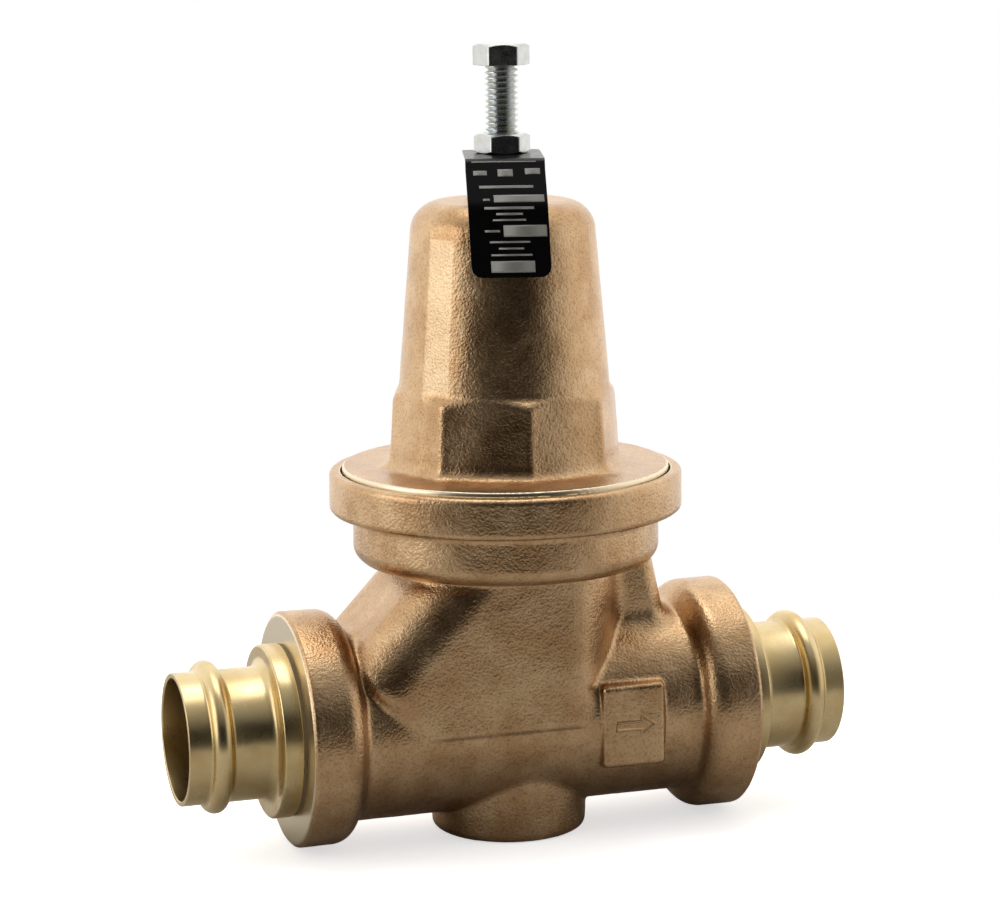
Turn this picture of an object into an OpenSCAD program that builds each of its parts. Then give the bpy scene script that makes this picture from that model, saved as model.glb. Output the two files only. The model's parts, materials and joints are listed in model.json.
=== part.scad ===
// Pressure reducing valve with press ends, after the spring, diaphragm and cartridge pattern.
// The foot's underside is the origin, +Z runs up the stem, and water flows from -X to +X.

/* [Press ends] */
// Bore radius of a press socket, half the copper tube's diameter plus play
tube_r = 17.55; // [16:0.01:22]
// Wall of the press end's tube
press_wall = 1.45; // [1:0.05:2.5]
// How far a press end stands out past its face seal
press_len = 31.4; // [28:0.1:45]
// How deep the copper tube goes in before it meets the stop
socket_depth = 26; // [20:0.5:27]
// Height of the O-ring bead above the press tube
bead_rise = 2.9; // [2:0.1:4]
// Width of the O-ring bead where it meets the press tube
bead_w = 7.8; // [7:0.1:10]
// Fillet on each side of the O-ring bead
bead_fillet = 1.1; // [0.5:0.1:1.5]
// Distance from the mouth to the middle of the bead
bead_inset = 9.65; // [6:0.05:14]
// Step of the tube stop below the socket's bore
stop_step = 1.65; // [1:0.05:3]
// Step of the body's flow bores below the socket's bore
flow_step = 0.65; // [0.3:0.05:2]
// Height of the press end's shoulder above its tube
shoulder_rise = 6; // [4:0.1:9]
// Width of the press end's shoulder
shoulder_w = 5.6; // [4:0.1:9]
// Fillet between the press tube and the shoulder
shoulder_fillet = 3.5; // [1:0.1:4]
// Length of the threaded spigot inside the body
spigot_len = 18; // [12:0.5:19]
// Wall of the threaded spigot
spigot_wall = 5; // [4:0.1:7]
// Thickness of the face seal between press end and body
face_seal_t = 0.8; // [0.5:0.1:1.5]
// Radius of the section of a press O-ring
press_ring_section = 1.6; // [1:0.05:2]

/* [Pipe run] */
// Distance from the stem's axis to each machined collar face
face_x = 67.3; // [64:0.02:90]
// Wall of the neck round the spigot
neck_wall = 7.05; // [5:0.05:10]
// Height of the collar above the neck
collar_rise = 6; // [4:0.1:9]
// Width of the collar's outer cylinder
collar_w = 10.3; // [8:0.1:14]
// Chamfer round the machined collar face
collar_chamfer = 0.8; // [0.3:0.1:2]
// Gap between the collars and what the foot stands on
foot_gap = 0.5; // [0.2:0.1:3]
// Radius of the foot at its underside
foot_r = 22.5; // [20:0.1:28]
// How much wider the foot is where it meets the pipe
foot_flare = 1; // [0:0.1:2]
// Edge radius of the foot
foot_edge = 2; // [1:0.1:3]

/* [Casting] */
// Radius of the chamber round the cartridge
chamber_r = 24.5; // [23.5:0.1:28]
// Wall of the central barrel
barrel_wall = 7; // [5:0.1:9]
// Wall behind the barrel's flat front and back
flat_wall = 4.2; // [3.5:0.1:6]
// Slope of the inlet lobe from the pipe
lobe_slope = 46.5; // [40:0.5:55]
// Where the lobe's axis crosses the pipe's axis
lobe_x = 35.3; // [32:0.1:38]
// Half the lobe's thickness across its slope
lobe_half = 27.7; // [25:0.1:29]
// Edge radius between the lobe's back and its flat sides
lobe_edge = 16; // [10:0.5:20]
// Radius of the passage inside the lobe
lobe_bore_r = 19.5; // [17:0.1:20]
// Radius of the outlet sensing passage
sense_r = 5; // [3:0.1:6]
// Wall between the chamber and the sensing passage
sense_wall = 3.5; // [3:0.1:6]
// Wall outside the sensing passage
column_wall = 4; // [3:0.1:8]
// Half the width of the outlet column
column_half = 12.5; // [9:0.1:18]
// Edge radius of the outlet column
column_edge = 6; // [3:0.1:8]
// How far the outlet column leans in towards the drum, in degrees
column_draft = 12; // [5:0.5:15]
// Radius of the lower chamber under the seat
lower_r = 16; // [15.5:0.1:17]
// Floor under the lower chamber
foot_floor = 8; // [5:0.1:10]
// Radius of the throat from the lower chamber to the outlet
throat_r = 13; // [11:0.1:14]
// Thickness of the bridge that carries the cartridge
bridge_t = 7; // [6:0.1:9]

/* [Top works] */
// Height of the drum's underside above the pipe's axis
drum_height = 45.6; // [44:0.02:60]
// Thickness of the floor under the diaphragm
floor_t = 5.9; // [5:0.1:9]
// Depth of the chamber under the diaphragm
dia_depth = 9.5; // [9:0.1:12]
// Radius of the top ring's threaded bore
ring_bore_r = 47.7; // [44:0.02:58]
// Wall of the top ring
ring_wall = 3.3; // [2.5:0.1:6]
// Width of the ledge that clamps the diaphragm
ledge_w = 9.2; // [7:0.1:11]
// Wall of the drum
drum_wall = 5.8; // [4:0.1:8]
// Rounding under the drum
drum_edge = 5; // [2:0.1:6]
// Height of the top ring
ring_h = 11.8; // [10:0.1:16]
// Rounding of the top ring's outer edges
ring_edge = 1.5; // [0.5:0.1:2]

/* [Bonnet] */
// Gap between the bonnet's flange and the ring's thread
flange_gap = 0.5; // [0.2:0.05:1]
// Thickness of the bonnet's screwed flange
flange_t = 10.5; // [9:0.1:14]
// Half the distance across the wrench flats at their foot
octagon_half = 31.6; // [31:0.1:33]
// Height of the wrench flats
octagon_h = 20.6; // [16:0.1:26]
// Draft of the wrench flats
octagon_draft = 3.5; // [0:0.1:5]
// Turn of the wrench flats about the stem
octagon_turn = 16.3; // [0:0.1:45]
// Radius of the tower at its foot
tower_r = 30.1; // [29.5:0.1:31]
// Radius of the tower at its shoulder
tower_top_r = 26.5; // [25:0.1:28]
// Height of the tapered tower
tower_h = 42; // [36:0.5:60]
// Radius of the tower's rounded shoulder
crown_edge = 8; // [5:0.1:9]
// Wall of the bonnet
bonnet_wall = 4.5; // [3.5:0.1:5]
// Radius of the neck round the adjusting screw
bonnet_neck_r = 9.5; // [8:0.1:11]
// Height of the neck
bonnet_neck_h = 12.9; // [8:0.1:16]

/* [Adjusting screw] */
// Radius over the screw's thread
screw_r = 4.7625; // [4:0.0025:6]
// Width across the flats of the screw's head and of the lock nut
hex_af = 14.29; // [12.5:0.01:17]
// Height of the screw's head
head_h = 5.95; // [5:0.05:8]
// Height of the lock nut
nut_h = 5.56; // [4:0.01:8]
// Length of thread between the lock nut and the head
exposed_thread = 19.35; // [17:0.05:30]
// Turn of the head's flats about the screw
head_turn = -13.7; // [-30:0.1:30]
// Turn of the nut's flats about the screw
nut_turn = -10; // [-30:0.1:30]
// Play between the screw and what it passes through
screw_play = 0.05; // [0.02:0.01:0.09]

/* [Nameplate] */
// Width of the nameplate
plate_w = 22.2; // [18:0.1:28]
// Thickness of the nameplate
plate_t = 0.5; // [0.3:0.05:1]
// How far the plate reaches behind the screw
plate_back = 11; // [9:0.1:14]
// Where the plate bends over the neck, in front of the screw
plate_bend_r = 20; // [18:0.1:24]
// Where the plate's flap bends down, in front of the screw
plate_knee_r = 27.2; // [26:0.1:32]
// Drop from the first bend to the second
plate_knee_drop = 11.8; // [9:0.1:14]
// Length of the flap below the second bend
plate_flap = 20; // [14:0.1:24]
// Lean of the flap from upright
plate_lean = 4.3; // [2:0.1:10]
// Turn of the plate about the screw
plate_turn = -16; // [-45:1:45]
// Radius of the flap's corners
plate_corner = 3; // [1:0.1:5]

/* [Springs] */
// Wire radius of the adjusting spring
spring_wire_r = 3; // [2:0.1:3.5]
// Radius of the adjusting spring to the middle of its wire
spring_r = 16.5; // [15:0.1:18]
// Turns of the adjusting spring
spring_turns = 6.5; // [5:0.25:7]
// Wire radius of the return spring
return_wire_r = 0.6; // [0.4:0.05:0.8]
// Radius of the return spring to the middle of its wire
return_r = 6.2; // [5.5:0.1:6.6]
// Turns of the return spring
return_turns = 5; // [3:0.25:6]

/* [Trim] */
// Radius of the stem
stem_r = 4; // [3:0.05:4.5]
// Radius of the stem's threaded ends
stem_end_r = 3; // [2:0.05:3.4]
// Play between the stem and its guide
stem_play = 0.05; // [0.02:0.01:0.09]
// Radius of the seat's orifice
seat_r = 9.5; // [8:0.1:10]
// How far the disc stands off the seat when the valve is open
lift = 4.05; // [3.05:0.05:5]
// Radius of the rubber seat disc
disc_r = 11.2; // [10.8:0.1:11.4]
// Thickness of the rubber seat disc
disc_t = 3; // [2:0.1:4]
// Radius of the disc holder
holder_r = 12.6; // [12.3:0.1:13]
// Radius of the cage's lower spigot
cage_foot_play = 0.05; // [0.02:0.01:0.1]
// Outer radius of the cage at its windows
cage_r = 17; // [16.5:0.1:18]
// Inner radius of the cage at its windows
cage_bore_r = 13.2; // [12.9:0.1:14]
// Radius of the cage's thread in the chamber floor
cage_thread_r = 21.9; // [21.5:0.1:22.4]
// Radius of the cage's flange
cage_flange_r = 26; // [24:0.1:27]
// Thickness of the cage's flange
cage_flange_t = 3.5; // [3:0.1:4.5]
// Height of the guide boss above the cage's flange
cage_boss_h = 2.9; // [2:0.1:4]
// Radius of the guide boss
cage_boss_r = 11; // [10:0.1:12]
// Radius of the return spring's pocket
pocket_r = 8; // [7.5:0.1:8.5]
// Height of the stem's guide
guide_h = 8; // [6:0.1:10]
// Number of windows in the cage
cage_windows = 4; // [3:1:5]
// Radius of the section of the cage's O-rings
cage_ring_section = 1.2; // [0.8:0.05:1.4]
// Radius of the section of the stem's O-ring
stem_ring_section = 0.9; // [0.6:0.05:1.2]
// Outer radius of the strainer
strainer_r = 20.9; // [20:0.1:21.5]
// Wall of the strainer
strainer_t = 0.6; // [0.4:0.05:1]
// Number of slots round the strainer
strainer_slots = 20; // [12:1:28]
// Number of rows of slots in the strainer
strainer_rows = 5; // [3:1:6]

/* [Diaphragm] */
// Thickness of the diaphragm
dia_t = 1.6; // [1:0.1:2.5]
// Radius of the diaphragm's roll
roll_r = 3.5; // [2.5:0.1:4]
// Thickness of the slip ring
slip_t = 0.5; // [0.3:0.05:1]
// Radius of the lower spring plate
plate_r = 25.5; // [24:0.1:26]
// Thickness of the lower spring plate
spring_plate_t = 4; // [3:0.1:5]
// Thickness of the diaphragm washer
washer_t = 3; // [2:0.1:4]
// Radius of the pilots inside the adjusting spring
pilot_r = 12.5; // [10:0.1:13]
// Height of the lower pilot
pilot_h = 3; // [2:0.1:4]
// Radius of the upper spring button
button_r = 20.3; // [19.5:0.1:20.8]
// Thickness of the upper spring button
button_t = 4; // [3:0.1:5]
// Height of the upper pilot
button_pilot_h = 4.5; // [3:0.1:6]
// Height of the boss that takes the screw's tip
button_boss_h = 3.5; // [2:0.1:4]
// Depth of the dimple for the screw's tip
dimple = 1.5; // [1:0.1:1.9]
// Room above the button for backing the screw off
back_off = 6.6; // [6.5:0.1:9]

/* [Marks] */
// Width of the flow-arrow pad
pad_w = 19; // [14:0.1:20]
// Height of the flow-arrow pad
pad_h = 24.2; // [16:0.1:25]
// Where the pad's left edge is, from the stem
pad_x = 19.4; // [19:0.1:24]
// How far the pad stands in front of the neck
pad_rise = 1.6; // [0.5:0.1:2.5]
// How far the arrow stands on the pad
arrow_rise = 0.4; // [0.2:0.05:0.8]
// Where the arrow's tail is, from the pad's left edge
arrow_x = 3.7; // [2:0.1:5]
// Length of the flow arrow
arrow_len = 12.8; // [8:0.1:13.5]
// Length of the arrow's head
arrow_head = 5.5; // [3:0.1:6]
// Half the height of the arrow's head
arrow_half = 3.5; // [2.5:0.1:4.5]
// Half the height of the arrow's tail
arrow_tail = 1.5; // [1.2:0.1:2]
// Width of the arrow's raised outline
arrow_line = 0.6; // [0.3:0.05:0.8]

/* [Hidden] */

fine = 96;       // facets of a full circle in the preview
eps = 0.01;      // overlap that keeps cuts clean
arc_steps = 6;   // points along a rounded edge
thread_play = 0.05;

// Radii along the pipe
press_r = tube_r + press_wall;
stop_r = tube_r - stop_step;
shoulder_r = press_r + shoulder_rise;
bead_r = press_r + bead_rise;
spigot_r = stop_r + spigot_wall;
port_r = spigot_r + thread_play;
neck_r = port_r + neck_wall;
collar_r = neck_r + collar_rise;
flow_r = tube_r - flow_step;
press_ring_r = tube_r + press_ring_section + 0.15;

// Heights, from the foot's underside up
pipe_z = collar_r + foot_gap;
pad_z = pipe_z - 0.5;
arrow_z = pipe_z - 0.3;
bridge_z = pipe_z + throat_r + 0.5;
chamber_z = bridge_z + bridge_t;
drum_z = pipe_z + drum_height;
chamber_top = drum_z - 1.1;
floor_z = drum_z + floor_t;
ledge_z = floor_z + dia_depth;
ring_z = ledge_z - 0.5;
ring_top = ring_z + ring_h;
dia_top = ledge_z + dia_t;
flange_z = dia_top + slip_t;
flange_top = flange_z + flange_t;
octagon_top = flange_top + octagon_h;
tower_z = octagon_top + 3.8;
crown_z = tower_z + tower_h;
crown_top = crown_z + 9.7;
neck_top = crown_top + bonnet_neck_h;
plate_top = neck_top + plate_t;
nut_top = plate_top + nut_h;
head_z = nut_top + exposed_thread;
head_top = head_z + head_h;

// Radii up the stem
barrel_r = chamber_r + barrel_wall;
flat_y = chamber_r + flat_wall;
dia_chamber_r = ring_bore_r - ledge_w;
drum_r = dia_chamber_r + drum_wall;
ring_r = ring_bore_r + ring_wall;
diaphragm_r = ring_bore_r - 0.7;
flange_r = ring_bore_r - flange_gap;
bonnet_bore_r = octagon_half - bonnet_wall - 0.6;
mouth_r = dia_chamber_r - 2.5;
sense_x = chamber_r + sense_wall + sense_r;
column_x = sense_x + sense_r + column_wall;
column_w = column_x - chamber_r / 2;
screw_bore_r = screw_r + screw_play;
stem_bore_r = stem_r + stem_play;
cage_hole_r = cage_thread_r + thread_play;
cage_foot_r = lower_r - cage_foot_play;
wall_r = lower_r + 5;
body_top = drum_z + 2;

// Trim levels
cage_top = floor_z + cage_flange_t;
boss_top = cage_top + cage_boss_h;
washer_z = ledge_z - washer_t;
guide_z = floor_z - floor_t - guide_h;
pocket_z = guide_z + guide_h;
window_z = chamber_z + 3;
window_top = guide_z - 1;
seat_face = bridge_z - 1;
disc_top = seat_face - lift;
disc_z = disc_top - disc_t;
holder_z = disc_z - 3.5;
disc_nut_h = 4;
stem_foot = holder_z - disc_nut_h - 1;
spring_plate_top = dia_top + spring_plate_t;
pilot_top = spring_plate_top + pilot_h;
stem_nut_h = 5;
stem_nut_af = 11;
disc_nut_af = 10;
stem_head = pilot_top + stem_nut_h + 1.5;

// Spring chamber levels, hung from the bonnet's ceiling
ceiling_z = crown_top - 5;
button_boss_top = ceiling_z - back_off;
button_top = button_boss_top - button_boss_h;
button_z = button_top - button_t;
tip_z = button_boss_top - dimple;

// Points of an arc from angle a to angle b about a centre
function arc(x, y, r, a, b) =
    [for (i = [0:arc_steps]) let (t = a + (b - a) * i / arc_steps) [x + r * cos(t), y + r * sin(t)]];

// Points of a helix ring by ring, for a wire of radius w
function coil_points(r, w, z0, z1, turns, steps, sides) =
    [for (i = [0:steps]) let (t = i / steps, a = 360 * turns * t, z = z0 + w + (z1 - z0 - 2 * w) * t)
        for (j = [0:sides - 1]) let (b = 360 * j / sides, q = r + w * cos(b))
            [q * cos(a), q * sin(a), z + w * sin(b)]];

function coil_faces(steps, sides) = concat(
    [[for (j = [0:sides - 1]) j]],
    [for (i = [0:steps - 1]) for (j = [0:sides - 1]) let (k = (j + 1) % sides)
        [i * sides + j, (i + 1) * sides + j, (i + 1) * sides + k, i * sides + k]],
    [[for (j = [0:sides - 1]) steps * sides + sides - 1 - j]]);

// A coil spring between two heights
module coil(r, w, z0, z1, turns) {
    steps = round(turns * 24);
    polyhedron(coil_points(r, w, z0, z1, turns, steps, 10), coil_faces(steps, 10), convexity = 10);
}

// A revolved ring of round section, for O-rings
module ring(r, section) {
    rotate_extrude($fn = fine) translate([r, 0]) circle(section, $fn = 32);
}

// Points +Z outwards along the pipe on one side, -1 for the inlet and 1 for the outlet
module along_pipe(side) {
    translate([0, 0, pipe_z]) rotate([0, 90 * side, 0]) children();
}

// A straight round bar between two heights
module bar(r, z0, z1) {
    translate([0, 0, z0]) cylinder(r = r, h = z1 - z0, $fn = fine);
}

// A slab with round upright edges, centred on the axes, as one profile
module rounded_slab(w, d, h, r) {
    linear_extrude(h) polygon(concat(
        arc(w / 2 - r, d / 2 - r, r, 0, 90), arc(r - w / 2, d / 2 - r, r, 90, 180),
        arc(r - w / 2, r - d / 2, r, 180, 270), arc(w / 2 - r, r - d / 2, r, 270, 360)));
}

// A six-sided prism whose top edge, or both, is turned to a 30 degree cone
module hexagon(af, z0, z1, turn, both) {
    tip = af / 2 / cos(30);
    face = af / 2 * 0.97;
    over = tip + 1;
    drop = (over - face) * tan(30);
    intersection() {
        translate([0, 0, z0]) rotate(turn) cylinder(r = tip, h = z1 - z0, $fn = 6);
        rotate_extrude($fn = fine) polygon([[0, z0], [both ? face : over, z0],
            [over, both ? z0 + drop : z0 + eps], [over, z1 - drop], [face, z1], [0, z1]]);
    }
}

// Neck and collar on one side of the pipe run
module port(side) {
    along_pipe(side) rotate_extrude($fn = fine) polygon(concat(
        [[0, 0], [neck_r, 0]],
        arc(neck_r, face_x - collar_w, collar_rise, -90, 0),
        [[collar_r, face_x - collar_chamfer], [collar_r - collar_chamfer, face_x], [0, face_x]]));
}

// Anything drawn along the lobe's axis, which climbs from the inlet to the chamber
module along_lobe() {
    translate([-lobe_x, 0, pipe_z]) rotate([0, 90 - lobe_slope, 0]) children();
}

// Outline of an arrow that points along +X, its edges moved inwards by a line's width
function arrow_outline(inset) = let (
        neck = arrow_len - arrow_head,
        slope = arrow_half / arrow_head,
        point = inset * sqrt(1 + slope * slope) / slope,
        barb = arrow_half - (inset + point) * slope)
    [[inset, arrow_tail - inset], [neck + inset, arrow_tail - inset], [neck + inset, barb],
        [arrow_len - point, 0], [neck + inset, -barb], [neck + inset, inset - arrow_tail],
        [inset, inset - arrow_tail]];

// Raised outline of the flow arrow, flat on the pad and pointing downstream
module arrow() {
    translate([pad_x + arrow_x, eps - neck_r - pad_rise, arrow_z])
        rotate([90, 0, 0]) linear_extrude(arrow_rise + eps) difference() {
            polygon(arrow_outline(0));
            polygon(arrow_outline(arrow_line));
        }
}

// Outside of the casting
module body_outside() {
    for (side = [-1, 1]) port(side);
    // foot
    rotate_extrude($fn = fine) polygon(concat([[0, 0]],
        arc(foot_r - foot_edge, foot_edge, foot_edge, -90, 0),
        [[foot_r + foot_flare, pipe_z - foot_r / 2], [0, pipe_z - foot_r / 2]]));
    // barrel with its flat front and back
    intersection() {
        bar(barrel_r, pipe_z, body_top);
        translate([-barrel_r, -flat_y, pipe_z]) cube([2 * barrel_r, 2 * flat_y, body_top - pipe_z]);
    }
    // inlet lobe, flush with the barrel's flats and cut level with the drum
    intersection() {
        along_lobe() rounded_slab(2 * lobe_half, 2 * flat_y, 3 * lobe_half, lobe_edge);
        translate([-3 * lobe_half, -flat_y, pipe_z]) cube([3 * lobe_half, 2 * flat_y, body_top - pipe_z]);
    }
    // outlet column, leaning in towards the drum
    translate([column_x, 0, drum_z]) rotate([0, -column_draft, 0]) translate([-column_w / 2, 0, -drum_height])
        rounded_slab(column_w, 2 * column_half, drum_height + floor_t, column_edge);
    // drum and top ring
    rotate_extrude($fn = fine) polygon(concat([[0, drum_z]],
        arc(drum_r - drum_edge, drum_z + drum_edge, drum_edge, -90, 0),
        [[drum_r, ring_z]],
        arc(ring_r - ring_edge, ring_z + ring_edge, ring_edge, -90, 0),
        arc(ring_r - ring_edge, ring_top - ring_edge, ring_edge, 0, 90),
        [[0, ring_top]]));
    // flow-arrow pad
    translate([pad_x + pad_w / 2, 0, pad_z]) rotate([90, 0, 0])
        rounded_slab(pad_w, pad_h, neck_r + pad_rise, 2);
    arrow();
}

// Water passage from the inlet up through the lobe to the chamber
module inlet_passage() {
    start_x = face_x - spigot_len - 1;
    along_pipe(-1) bar(flow_r, wall_r, start_x + eps);
    intersection() {
        along_lobe() cylinder(r = lobe_bore_r, h = 3 * lobe_half, $fn = fine);
        translate([-3 * lobe_half, -flat_y, 0]) cube([3 * lobe_half, 2 * flat_y, chamber_top]);
    }
    bar(chamber_r, chamber_z, chamber_top);
}

module body() {
    color("#b08d6c") difference() {
        union() {
            difference() {
                body_outside();
                inlet_passage();
            }
            bar(wall_r, foot_floor, chamber_z);
        }
        for (side = [-1, 1]) along_pipe(side) bar(port_r, face_x - spigot_len - 1, face_x + 1);
        bar(lower_r, foot_floor, chamber_z + 1);
        along_pipe(1) bar(throat_r, 0, chamber_r + 3);
        along_pipe(1) bar(flow_r, chamber_r + 2.5, face_x - spigot_len);
        translate([sense_x, 0, 0]) bar(sense_r, pipe_z, floor_z + 1);
        bar(cage_hole_r, chamber_top - 1, floor_z + 1);
        bar(dia_chamber_r, floor_z, ledge_z + 1);
        bar(ring_bore_r, ledge_z, ring_top + 1);
    }
}

module bonnet() {
    corner_r = octagon_half * 1.055;
    inner_top_r = tower_top_r - bonnet_wall;
    color("#b78f63") difference() {
        rotate_extrude($fn = fine) polygon(concat(
            [[0, flange_z], [flange_r, flange_z], [flange_r, flange_top - 1], [flange_r - 1, flange_top]],
            arc(corner_r + 3, flange_top + 3, 3, 270, 180),
            [[corner_r, octagon_top - 2.2], [tower_r + 0.2, tower_z - 1], [tower_r, tower_z]],
            arc(tower_top_r - crown_edge, crown_top - crown_edge, crown_edge, 0, 90),
            arc(bonnet_neck_r + 1.5, crown_top + 1.5, 1.5, 270, 180),
            [[bonnet_neck_r, neck_top - 0.5], [bonnet_neck_r - 0.5, neck_top], [0, neck_top]]));
        // wrench flats, with draft
        for (k = [0:7]) rotate(octagon_turn + 45 * k)
            translate([octagon_half, -corner_r, flange_top + 1]) rotate([0, -octagon_draft, 0])
                cube([12, 2 * corner_r, octagon_h + 2]);
        // room for the diaphragm's roll, then the spring chamber
        bar(mouth_r, flange_z - 1, flange_z + 4);
        rotate_extrude($fn = fine) polygon([[0, flange_z], [bonnet_bore_r, flange_z],
            [bonnet_bore_r, octagon_top + 1], [inner_top_r, ceiling_z - 3], [inner_top_r - 3, ceiling_z],
            [0, ceiling_z]]);
        bar(screw_bore_r, ceiling_z - 1, neck_top + 1);
    }
}

module adjusting_screw() {
    color("#c9cbc6") union() {
        translate([0, 0, tip_z]) cylinder(r1 = screw_r - 0.8, r2 = screw_r, h = 0.8, $fn = fine);
        bar(screw_r, tip_z + 0.8, head_z + eps);
        hexagon(hex_af, head_z, head_top, head_turn, false);
    }
}

module lock_nut() {
    color("#c9cbc6") difference() {
        hexagon(hex_af, plate_top, nut_top, nut_turn, true);
        bar(screw_bore_r, plate_top - 1, nut_top + 1);
    }
}

module nameplate() {
    knee_z = neck_top - plate_knee_drop;
    end_r = plate_knee_r + plate_flap * sin(plate_lean);
    end_z = knee_z - plate_flap * cos(plate_lean);
    color("#1c1a1c") rotate(plate_turn) difference() {
        translate([-plate_w / 2, 0, 0]) rotate([90, 0, 90]) linear_extrude(plate_w) polygon([
            [plate_back, neck_top], [plate_back, plate_top], [-plate_bend_r, plate_top],
            [-plate_knee_r - plate_t, knee_z], [-end_r - plate_t, end_z], [-end_r, end_z],
            [-plate_knee_r, knee_z - 0.2], [plate_t / 2 - plate_bend_r, neck_top]]);
        bar(screw_bore_r, neck_top - 1, plate_top + 1);
        // round corners of the flap
        for (side = [-1, 1])
            translate([side * (plate_w / 2 - plate_corner), 0, end_z + plate_corner * 0.99]) rotate([90, 0, 0])
                difference() {
                    translate([side > 0 ? 0 : -plate_corner - 1, -plate_corner - 1, plate_knee_r - 2])
                        cube([plate_corner + 1, plate_corner + 1, 6]);
                    translate([0, 0, plate_knee_r - 3]) cylinder(r = plate_corner, h = 8, $fn = fine);
                }
    }
}

module upper_spring_button() {
    color("#8f9296") difference() {
        union() {
            bar(pilot_r, button_z - button_pilot_h, button_z + 1);
            bar(button_r, button_z, button_top);
            bar(8, button_top - 1, button_boss_top);
        }
        bar(screw_r + 0.3, tip_z, button_boss_top + 1);
    }
}

module adjusting_spring() {
    color("#55585c") coil(spring_r, spring_wire_r, spring_plate_top, button_z, spring_turns);
}

module lower_spring_plate() {
    color("#8f9296") difference() {
        union() {
            bar(plate_r, dia_top, spring_plate_top);
            bar(pilot_r, spring_plate_top - 1, pilot_top);
        }
        bar(stem_end_r, dia_top - 1, pilot_top + 1);
    }
}

module slip_ring() {
    color("#d9d6cc") difference() {
        bar(diaphragm_r, dia_top, flange_z);
        bar(dia_chamber_r, dia_top - 1, flange_z + 1);
    }
}

module diaphragm() {
    roll_x = (plate_r + mouth_r) / 2;
    color("#2a2a2c") rotate_extrude($fn = fine) polygon(concat(
        [[stem_end_r, ledge_z]],
        arc(roll_x, ledge_z, roll_r - dia_t, 180, 0),
        [[diaphragm_r, ledge_z], [diaphragm_r, dia_top]],
        arc(roll_x, ledge_z, roll_r, asin(dia_t / roll_r), 180 - asin(dia_t / roll_r)),
        [[stem_end_r, dia_top]]));
}

module diaphragm_washer() {
    color("#c2a25a") difference() {
        bar(plate_r, washer_z, ledge_z);
        bar(stem_end_r, washer_z - 1, ledge_z + 1);
    }
}

module stem_nut() {
    color("#c9cbc6") difference() {
        hexagon(stem_nut_af, pilot_top, pilot_top + stem_nut_h, 0, true);
        bar(stem_end_r, pilot_top - 1, pilot_top + stem_nut_h + 1);
    }
}

module stem() {
    color("#c7c9cc") union() {
        bar(stem_end_r, stem_foot, stem_head);
        bar(stem_r, disc_top, washer_z);
    }
}

module stem_seal() {
    color("#1d1d1f") translate([0, 0, guide_z + guide_h / 2])
        ring(stem_bore_r + stem_ring_section, stem_ring_section);
}

module cartridge_cage() {
    groove_z = guide_z + guide_h / 2;
    window_w = cage_r * 0.95;
    color("#c2a25a") difference() {
        union() {
            bar(cage_foot_r, bridge_z, chamber_z + 1);
            bar(cage_r, chamber_z, chamber_top + 1);
            bar(cage_thread_r, chamber_top, floor_z + 1);
            bar(cage_flange_r, floor_z, cage_top);
            bar(cage_boss_r, cage_top - 1, boss_top);
        }
        bar(cage_bore_r, bridge_z - 1, guide_z);
        bar(stem_bore_r, guide_z - 1, boss_top);
        bar(pocket_r, pocket_z, boss_top + 1);
        for (k = [0:cage_windows - 1]) rotate(360 * (k + 0.5) / cage_windows)
            translate([0, -window_w / 2, window_z]) cube([cage_r + 1, window_w, window_top - window_z]);
        // grooves for the seals
        translate([0, 0, groove_z - stem_ring_section])
            cylinder(r = stem_bore_r + 2 * stem_ring_section, h = 2 * stem_ring_section, $fn = fine);
        seal_groove(cage_thread_r, floor_z - floor_t / 2);
        seal_groove(cage_foot_r, chamber_z - bridge_t / 2);
        // holes for a pin wrench
        for (side = [-1, 1]) translate([side * (cage_boss_r + cage_flange_r) / 2, 0, 0])
            bar(2, cage_top - 2.5, cage_top + 1);
    }
}

// A square groove that holds one of the cage's O-rings
module seal_groove(r, z) {
    difference() {
        bar(r + 1, z - cage_ring_section, z + cage_ring_section);
        bar(r - 2 * cage_ring_section, z - 2 * cage_ring_section, z + 2 * cage_ring_section);
    }
}

module cage_upper_seal() {
    color("#1d1d1f") translate([0, 0, floor_z - floor_t / 2]) ring(cage_thread_r - cage_ring_section, cage_ring_section);
}

module cage_lower_seal() {
    color("#1d1d1f") translate([0, 0, chamber_z - bridge_t / 2]) ring(cage_foot_r - cage_ring_section, cage_ring_section);
}

module valve_seat() {
    color("#c7c9cc") rotate_extrude($fn = fine) polygon([
        [seat_r, seat_face], [seat_r + 0.8, seat_face], [seat_r + 1.8, bridge_z], [cage_bore_r, bridge_z],
        [cage_bore_r, window_z - 1], [seat_r + 1, window_z - 1], [seat_r, window_z - 2]]);
}

module seat_disc() {
    color("#232325") difference() {
        bar(disc_r, disc_z, disc_top);
        bar(stem_end_r, disc_z - 1, disc_top + 1);
    }
}

module disc_holder() {
    color("#c2a25a") difference() {
        bar(holder_r, holder_z, disc_top - 0.3);
        bar(disc_r, disc_z, disc_top + 1);
        bar(stem_end_r, holder_z - 1, disc_top + 1);
    }
}

module disc_nut() {
    color("#c9cbc6") difference() {
        hexagon(disc_nut_af, holder_z - disc_nut_h, holder_z, 0, true);
        bar(stem_end_r, holder_z - disc_nut_h - 1, holder_z + 1);
    }
}

module return_spring() {
    color("#8a8d90") coil(return_r, return_wire_r, pocket_z, washer_z, return_turns);
}

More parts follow.
